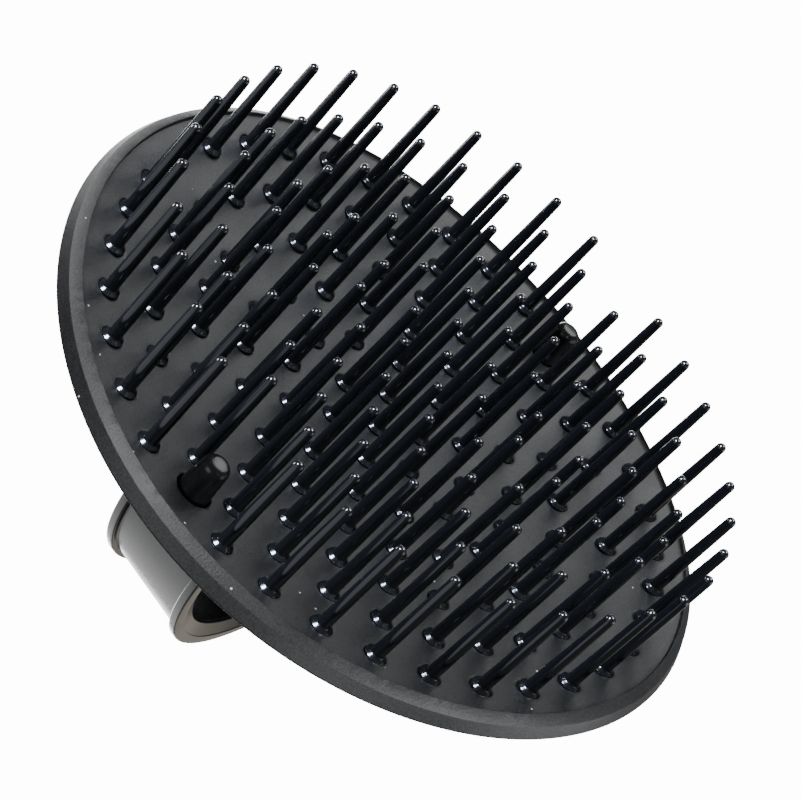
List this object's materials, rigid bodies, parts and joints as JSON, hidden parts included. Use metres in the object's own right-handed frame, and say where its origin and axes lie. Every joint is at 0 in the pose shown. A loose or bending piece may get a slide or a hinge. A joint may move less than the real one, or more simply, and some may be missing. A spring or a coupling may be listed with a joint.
{
  "type": "scalp massager brush",
  "caption": "Round palm-held scalp massager brush with a dished plate, concentric rings of upright bristle pins and an arched strap handle.",
  "frame": {"origin": "under the centre of the plate, at the level of the lowest pin tips, which is the bottom centre of the bounding box", "axes": "+Z from the pin tips up to the crown of the handle; X along the handle's arch, through both pegs; Y the way the fingers pass under the handle"},
  "size_m": [0.0914, 0.0914, 0.0545],
  "materials": {
    "plate_plastic": "fine satin grain, moulded black plastic",
    "pin_plastic": "polished black plastic with rounded tips",
    "handle_plastic": "semi-gloss moulded black plastic"
  },
  "bodies": {
    "root": {"arch_handle": "handle_plastic", "base_plate": "plate_plastic", "centre_pin": "pin_plastic", "ring_1_pins_sector_1": "pin_plastic", "ring_1_pins_sector_2": "pin_plastic", "ring_1_pins_sector_3": "pin_plastic", "ring_1_pins_sector_4": "pin_plastic", "ring_1_pins_sector_5": "pin_plastic", "ring_1_pins_sector_6": "pin_plastic", "ring_2_pins_sector_1": "pin_plastic", "ring_2_pins_sector_2": "pin_plastic", "ring_2_pins_sector_3": "pin_plastic", "ring_2_pins_sector_4": "pin_plastic", "ring_2_pins_sector_5": "pin_plastic", "ring_2_pins_sector_6": "pin_plastic", "ring_3_pins_sector_1": "pin_plastic", "ring_3_pins_sector_2": "pin_plastic", "ring_3_pins_sector_3": "pin_plastic", "ring_3_pins_sector_4": "pin_plastic", "ring_3_pins_sector_5": "pin_plastic", "ring_3_pins_sector_6": "pin_plastic", "ring_4_pins_sector_1": "pin_plastic", "ring_4_pins_sector_2": "pin_plastic", "ring_4_pins_sector_3": "pin_plastic", "ring_4_pins_sector_4": "pin_plastic", "ring_4_pins_sector_5": "pin_plastic", "ring_4_pins_sector_6": "pin_plastic", "ring_5_pins_sector_1": "pin_plastic", "ring_5_pins_sector_2": "pin_plastic", "ring_5_pins_sector_3": "pin_plastic", "ring_5_pins_sector_4": "pin_plastic", "ring_5_pins_sector_5": "pin_plastic", "ring_5_pins_sector_6": "pin_plastic", "ring_6_pins_sector_1": "pin_plastic", "ring_6_pins_sector_2": "pin_plastic", "ring_6_pins_sector_3": "pin_plastic", "ring_6_pins_sector_4": "pin_plastic", "ring_6_pins_sector_5": "pin_plastic", "ring_6_pins_sector_6": "pin_plastic"}
  },
  "joints": []
}
